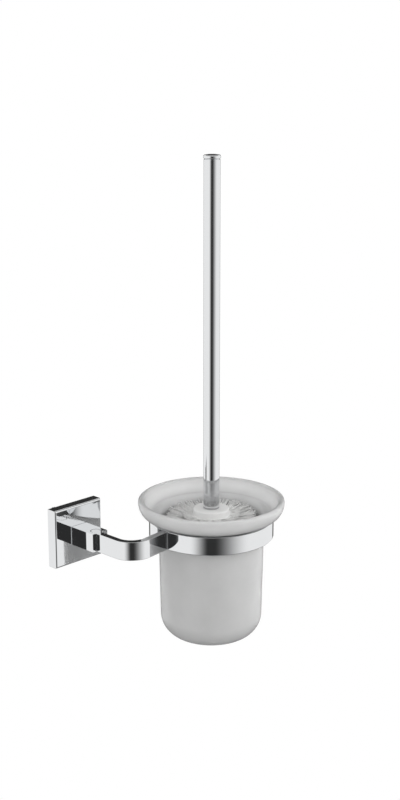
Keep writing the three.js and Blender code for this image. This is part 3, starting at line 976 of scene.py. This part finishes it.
def thread_tree():
    """A Geometry Nodes tree that winds a thread round a screw's shank."""
    tree = bpy.data.node_groups.new("thread", "GeometryNodeTree")
    tree.interface.new_socket("Geometry", in_out="OUTPUT", socket_type="NodeSocketGeometry")
    names = {}
    asked = [("Screw", "NodeSocketGeometry"), ("Pitch", "NodeSocketFloat"),
             ("Start", "NodeSocketVector"), ("Length", "NodeSocketFloat"),
             ("Core Radius", "NodeSocketFloat"), ("Tip Length", "NodeSocketFloat"),
             ("Crest", "NodeSocketFloat"), ("Material", "NodeSocketMaterial")]
    for name, kind in asked:
        names[name] = tree.interface.new_socket(name, in_out="INPUT", socket_type=kind).identifier
    graph = Graph(tree)

    def given(name):
        return graph.node("NodeGroupInput", output=name)

    profile = graph.node(
        "GeometryNodeCurvePrimitiveCircle", {"mode": "RADIUS"},
        {"Resolution": 3, "Radius": given("Crest")}, output="Curve",
    )

    def winding(length, start_radius, end_radius):
        spiral = graph.node(
            "GeometryNodeCurveSpiral", None,
            {"Resolution": 20, "Rotations": length / given("Pitch"),
             "Start Radius": start_radius, "End Radius": end_radius, "Height": length},
        )
        return graph.node(
            "GeometryNodeCurveToMesh", None,
            {"Curve": spiral, "Profile Curve": profile, "Fill Caps": True},
        )

    upright = graph.node("ShaderNodeCombineXYZ", None, {"X": 0.0, "Y": 0.0, "Z": given("Tip Length")})
    tip = winding(given("Tip Length"), 0.0003, given("Core Radius"))
    shank = graph.node(
        "GeometryNodeTransform", None,
        {"Geometry": winding(given("Length"), given("Core Radius"), given("Core Radius")),
         "Translation": upright},
    )
    both = graph.tree.nodes.new("GeometryNodeJoinGeometry")
    for part in (tip, shank):
        graph.tree.links.new(part.socket, both.inputs[0])
    laid = graph.node(
        "GeometryNodeTransform", None,
        {"Geometry": Value(graph, both.outputs[0]), "Rotation": (math.pi / 2, 0, 0),
         "Translation": given("Start")},
    )
    all_parts = graph.tree.nodes.new("GeometryNodeJoinGeometry")
    for part in (laid, given("Screw")):
        graph.tree.links.new(part.socket, all_parts.inputs[0])
    solid = graph.node(
        "GeometryNodeRealizeInstances", None, {"Geometry": Value(graph, all_parts.outputs[0])}
    )
    painted = graph.node(
        "GeometryNodeSetMaterial", None, {"Geometry": solid, "Material": given("Material")}
    )
    graph.node("NodeGroupOutput", None, {"Geometry": painted})
    return tree, names


def merged_copy(node, name):
    """A welded copy of a CAD node's mesh."""
    bm = bmesh.new()
    bm.from_mesh(frame["nodes"][node].data)
    bmesh.ops.remove_doubles(bm, verts=bm.verts, dist=1e-6)
    mesh = bpy.data.meshes.new(name)
    bm.to_mesh(mesh)
    bm.free()
    copy = bpy.data.objects.new(name, mesh)
    bpy.context.scene.collection.objects.link(copy)
    return copy


def wall_screws():
    """The two wall screws, with their threads."""
    tree, names = thread_tree()
    for node in ("wall_screw_upper", "wall_screw_lower"):
        low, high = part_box(node)
        middle = (low + high) / 2
        screw = merged_copy(node, f"{node}_threaded")
        winding = screw.modifiers.new("thread", "NODES")
        winding.node_group = tree
        values = {
            "Pitch": 1.9 * MM, "Start": (middle.x, high.y, middle.z), "Length": 17.5 * MM,
            "Core Radius": 1.85 * MM, "Tip Length": 4.6 * MM, "Crest": 0.5 * MM,
            "Material": finish("screw_steel"),
        }
        for label, value in values.items():
            winding[names[label]] = value
        settle(screw)
        screw.data.shade_smooth()
        screw.data.set_sharp_from_angle(angle=math.radians(35))
        fit(screw, "holder", "screw_steel", node)


def fittings():
    """Gives the CAD nodes that stay in view their finishes."""
    slots = {s["node"]: s["material_slot"] for s in frame["record"]["subparts"]}
    for name, node in frame["nodes"].items():
        if node.hide_render:
            continue
        node.data.materials.clear()
        node.data.materials.append(finish(slots[name]))


# ---------------------------------------------------------------- studio

# The room that polished metal mirrors: pale all round, with a dark card at the front, from which the
# light grows towards both sides, and a dark card at the back.
FRONT_CARD = math.radians(10)
LEFT_FADE = math.radians(35)
RIGHT_FADE = math.radians(70)
BACK_CARD_START = math.radians(150)
BACK_CARD_EDGE = math.radians(8)
PALE_GREY = 0.85
DARK_GREY = 0.03

# The soft light on everything that isn't polished metal, and the overhead card's light.
SOFT_LIGHT = 1.33
SOFT_SIDE = 0.15
SOFT_BELOW = 0.28
SOFT_LOW, SOFT_HIGH = -0.75, 0.15
SURROUND_STRENGTH = 1.06
CARD_LIGHT = 0.34


def glow_material(name):
    """The surround's glow. Polished metal mirrors the plain room with its two dark cards; everything
    else is lit by a soft light that is stronger from the right and from above."""
    material = bpy.data.materials.new(name)
    material.use_nodes = True
    graph = Graph(material.node_tree)
    place = graph.place()
    x, y, z = (
        graph.node("ShaderNodeSeparateXYZ", None, {"Vector": place}, output=k) for k in "XYZ"
    )
    turn = graph.node("ShaderNodeMath", {"operation": "ARCTAN2"}, {0: y, 1: x})
    side = graph.node("ShaderNodeMath", {"operation": "SINE"}, {0: turn})
    ahead = graph.node("ShaderNodeMath", {"operation": "COSINE"}, {0: turn})
    edge = FRONT_CARD / 2
    right = graph.between(turn, edge, edge + RIGHT_FADE)
    left = graph.between(0 - turn, edge, edge + LEFT_FADE)
    before_back = graph.between(
        ahead, math.cos(BACK_CARD_START + BACK_CARD_EDGE), math.cos(BACK_CARD_START)
    )
    room = DARK_GREY + (right + left) * before_back * (PALE_GREY - DARK_GREY)
    above = graph.between(z, SOFT_LOW, SOFT_HIGH) * (1 - SOFT_BELOW)
    soft = (SOFT_LIGHT + side * SOFT_SIDE) * (SOFT_BELOW + above)
    soft_colour, room_colour = (
        graph.node("ShaderNodeCombineColor", None, {"Red": v, "Green": v, "Blue": v})
        for v in (soft, room)
    )
    in_metal = graph.node("ShaderNodeLightPath", output="Glossy Depth")
    colour = graph.blend(in_metal, soft_colour, room_colour)
    glow = graph.node("ShaderNodeEmission", None, {"Color": colour, "Strength": SURROUND_STRENGTH})
    graph.node("ShaderNodeOutputMaterial", None, {"Surface": glow})
    return material


def card_material(name):
    """The overhead card: an even soft light."""
    material = bpy.data.materials.new(name)
    material.use_nodes = True
    graph = Graph(material.node_tree)
    glow = graph.node(
        "ShaderNodeEmission", None, {"Color": (CARD_LIGHT,) * 3 + (1.0,), "Strength": 1.0}
    )
    graph.node("ShaderNodeOutputMaterial", None, {"Surface": glow})
    return material


def floor_material():
    """The pale floor: matt paper with a faint grain, brightly lit where it is looked at."""
    material = bpy.data.materials.new("floor_paper")
    material.use_nodes = True
    graph = Graph(material.node_tree)
    grain = graph.noise(180.0, 3.0)
    matt = graph.node(
        "ShaderNodeBsdfPrincipled", None,
        {"Base Color": graph.blend(grain, (0.29, 0.29, 0.29, 1.0), (0.32, 0.32, 0.32, 1.0)),
         "Roughness": 0.9},
    )
    lit = graph.node("ShaderNodeEmission", None, {"Color": (1.0, 1.0, 1.0, 1.0), "Strength": 1.0})
    seen = graph.node("ShaderNodeLightPath", output="Is Camera Ray")
    surface = graph.node("ShaderNodeMixShader", None, {0: seen, 1: matt, 2: lit})
    graph.node("ShaderNodeOutputMaterial", None, {"Surface": surface})
    return material


def stage():
    """Floor, surround, world, lights and camera."""
    scene = bpy.context.scene
    studio = settings().studio
    place = Vector(studio.camera_place)
    axis = box_middle("cup_ring")
    facing = math.atan2(place.y - axis.y, place.x - axis.x)

    floor_mesh = bpy.data.meshes.new("floor")
    reach = 30.0
    floor_mesh.from_pydata(
        [(x * reach, y * reach, 0) for x, y in ((-1, -1), (1, -1), (1, 1), (-1, 1))], [], [(0, 1, 2, 3)]
    )
    floor_mesh.materials.append(floor_material())
    floor = bpy.data.objects.new("floor", floor_mesh)
    floor.location.z = -studio.floor_drop

    bm = bmesh.new()
    segments = 96
    levels = (-studio.floor_drop + 1 * MM, studio.surround_top)
    rings = [
        [bm.verts.new((studio.surround_radius * math.cos(math.tau * k / segments),
                       studio.surround_radius * math.sin(math.tau * k / segments), z))
         for k in range(segments)]
        for z in levels
    ]
    for k in range(segments):
        after = (k + 1) % segments
        bm.faces.new([rings[0][after], rings[0][k], rings[1][k], rings[1][after]])
    wall_mesh = bpy.data.meshes.new("surround")
    bm.to_mesh(wall_mesh)
    bm.free()
    wall_mesh.materials.append(glow_material("surround_glow"))
    surround = bpy.data.objects.new("surround", wall_mesh)
    surround.location.xy = axis.xy
    surround.rotation_euler.z = facing
    surround.visible_camera = False

    bm = bmesh.new()
    bmesh.ops.create_circle(bm, cap_ends=True, segments=64, radius=studio.ceiling_radius)
    ceiling_mesh = bpy.data.meshes.new("ceiling_card")
    bm.to_mesh(ceiling_mesh)
    bm.free()
    ceiling_mesh.materials.append(card_material("overhead_card"))
    ceiling = bpy.data.objects.new("ceiling_card", ceiling_mesh)
    ceiling.location = (axis.x, axis.y, studio.surround_top)
    ceiling.visible_camera = False

    for thing in (floor, surround, ceiling):
        scene.collection.objects.link(thing)

    world = bpy.data.worlds.new("white_room")
    world.use_nodes = True
    graph = Graph(world.node_tree)
    light = graph.node(
        "ShaderNodeBackground", None,
        {"Color": (1.0, 1.0, 1.0, 1.0), "Strength": studio.world_strength},
    )
    graph.node("ShaderNodeOutputWorld", None, {"Surface": light})
    scene.world = world

    lamp = bpy.data.lights.new("fill", "AREA")
    lamp.shape, lamp.size, lamp.energy = "DISK", 0.7, studio.fill_power
    fill = bpy.data.objects.new("fill", lamp)
    turn = facing + math.radians(78)
    fill.location = axis + Vector((math.cos(turn) * 0.95, math.sin(turn) * 0.95, 0.55))
    fill.rotation_mode = "QUATERNION"
    fill.rotation_quaternion = (fill.location - axis).to_track_quat("Z", "Y")
    fill.visible_camera = False
    fill.visible_glossy = False
    scene.collection.objects.link(fill)

    lens = bpy.data.cameras.new("camera")
    lens.sensor_width, lens.lens = 36.0, studio.lens
    lens.shift_y = studio.camera_shift
    lens.clip_start, lens.clip_end = 0.05, 100.0
    camera = bpy.data.objects.new("camera", lens)
    camera.location = place
    camera.rotation_euler = (math.pi / 2 - studio.camera_pitch, 0.0, studio.camera_azimuth)
    scene.collection.objects.link(camera)
    scene.camera = camera
    scene.view_settings.view_transform = "Standard"


# ---------------------------------------------------------------- operators


class HOLDER_OT_stage(bpy.types.Operator):
    """Set up the floor, surround, light and camera"""

    bl_idname = "holder.stage"
    bl_label = "Stage"
    bl_options = {"REGISTER", "UNDO"}

    def execute(self, context):
        stage()
        return {"FINISHED"}


class HOLDER_OT_wall_fixing(bpy.types.Operator):
    """Build the square wall cover and the post"""

    bl_idname = "holder.wall_fixing"
    bl_label = "Wall fixing"
    bl_options = {"REGISTER", "UNDO"}

    def execute(self, context):
        wall_cover()
        post()
        return {"FINISHED"}


class HOLDER_OT_arm(bpy.types.Operator):
    """Build the bent arm strap"""

    bl_idname = "holder.arm"
    bl_label = "Arm"
    bl_options = {"REGISTER", "UNDO"}

    def execute(self, context):
        arm_strap()
        return {"FINISHED"}


class HOLDER_OT_ring(bpy.types.Operator):
    """Build the ring and its gasket"""

    bl_idname = "holder.ring"
    bl_label = "Ring"
    bl_options = {"REGISTER", "UNDO"}

    def execute(self, context):
        cup_ring()
        ring_gasket()
        return {"FINISHED"}


class HOLDER_OT_cup(bpy.types.Operator):
    """Build the frosted glass cup"""

    bl_idname = "holder.cup"
    bl_label = "Cup"
    bl_options = {"REGISTER", "UNDO"}

    def execute(self, context):
        glass_cup()
        return {"FINISHED"}


class HOLDER_OT_handle(bpy.types.Operator):
    """Build the handle's tube, cap and washer"""

    bl_idname = "holder.handle"
    bl_label = "Handle"
    bl_options = {"REGISTER", "UNDO"}

    def execute(self, context):
        handle_tube()
        handle_cap()
        foot_washer()
        return {"FINISHED"}


class HOLDER_OT_brush_head(bpy.types.Operator):
    """Build the brush's hub and its tufts"""

    bl_idname = "holder.brush_head"
    bl_label = "Brush head"
    bl_options = {"REGISTER", "UNDO"}

    def execute(self, context):
        brush_hub()
        bristle_rows()
        return {"FINISHED"}


class HOLDER_OT_wall_screws(bpy.types.Operator):
    """Build the threaded wall screws"""

    bl_idname = "holder.wall_screws"
    bl_label = "Wall screws"
    bl_options = {"REGISTER", "UNDO"}

    def execute(self, context):
        wall_screws()
        return {"FINISHED"}


class HOLDER_OT_fittings(bpy.types.Operator):
    """Finish the bracket and the small metal fittings"""

    bl_idname = "holder.fittings"
    bl_label = "Fittings"
    bl_options = {"REGISTER", "UNDO"}

    def execute(self, context):
        fittings()
        return {"FINISHED"}


OPERATORS = (
    HOLDER_OT_stage, HOLDER_OT_wall_fixing, HOLDER_OT_arm, HOLDER_OT_ring, HOLDER_OT_cup,
    HOLDER_OT_handle, HOLDER_OT_brush_head, HOLDER_OT_wall_screws, HOLDER_OT_fittings,
)


class HOLDER_PT_panel(bpy.types.Panel):
    """Lists the holder's operators and settings"""

    bl_label = "Brush holder"
    bl_idname = "HOLDER_PT_panel"
    bl_space_type = "VIEW_3D"
    bl_region_type = "UI"
    bl_category = PANEL_TAB

    def draw(self, context):
        layout = self.layout
        for operator in OPERATORS:
            layout.operator(operator.bl_idname)
        for group in ("edges", "bristles", "studio", "colours"):
            part = getattr(context.scene.brush_holder, group)
            box = layout.box()
            for name in part.__annotations__:
                box.prop(part, name)


CLASSES = (
    FinishColours, EdgeSizes, BristleSizes, StudioSizes, HolderSettings, *OPERATORS, HOLDER_PT_panel,
)


def register():
    for kind in CLASSES:
        bpy.utils.register_class(kind)
    bpy.types.Scene.brush_holder = PointerProperty(type=HolderSettings)


def unregister():
    del bpy.types.Scene.brush_holder
    for kind in reversed(CLASSES):
        bpy.utils.unregister_class(kind)


def main():
    register()
    for operator in OPERATORS:
        group, name = operator.bl_idname.split(".")
        getattr(getattr(bpy.ops, group), name)()


if __name__ == "__main__":
    main()
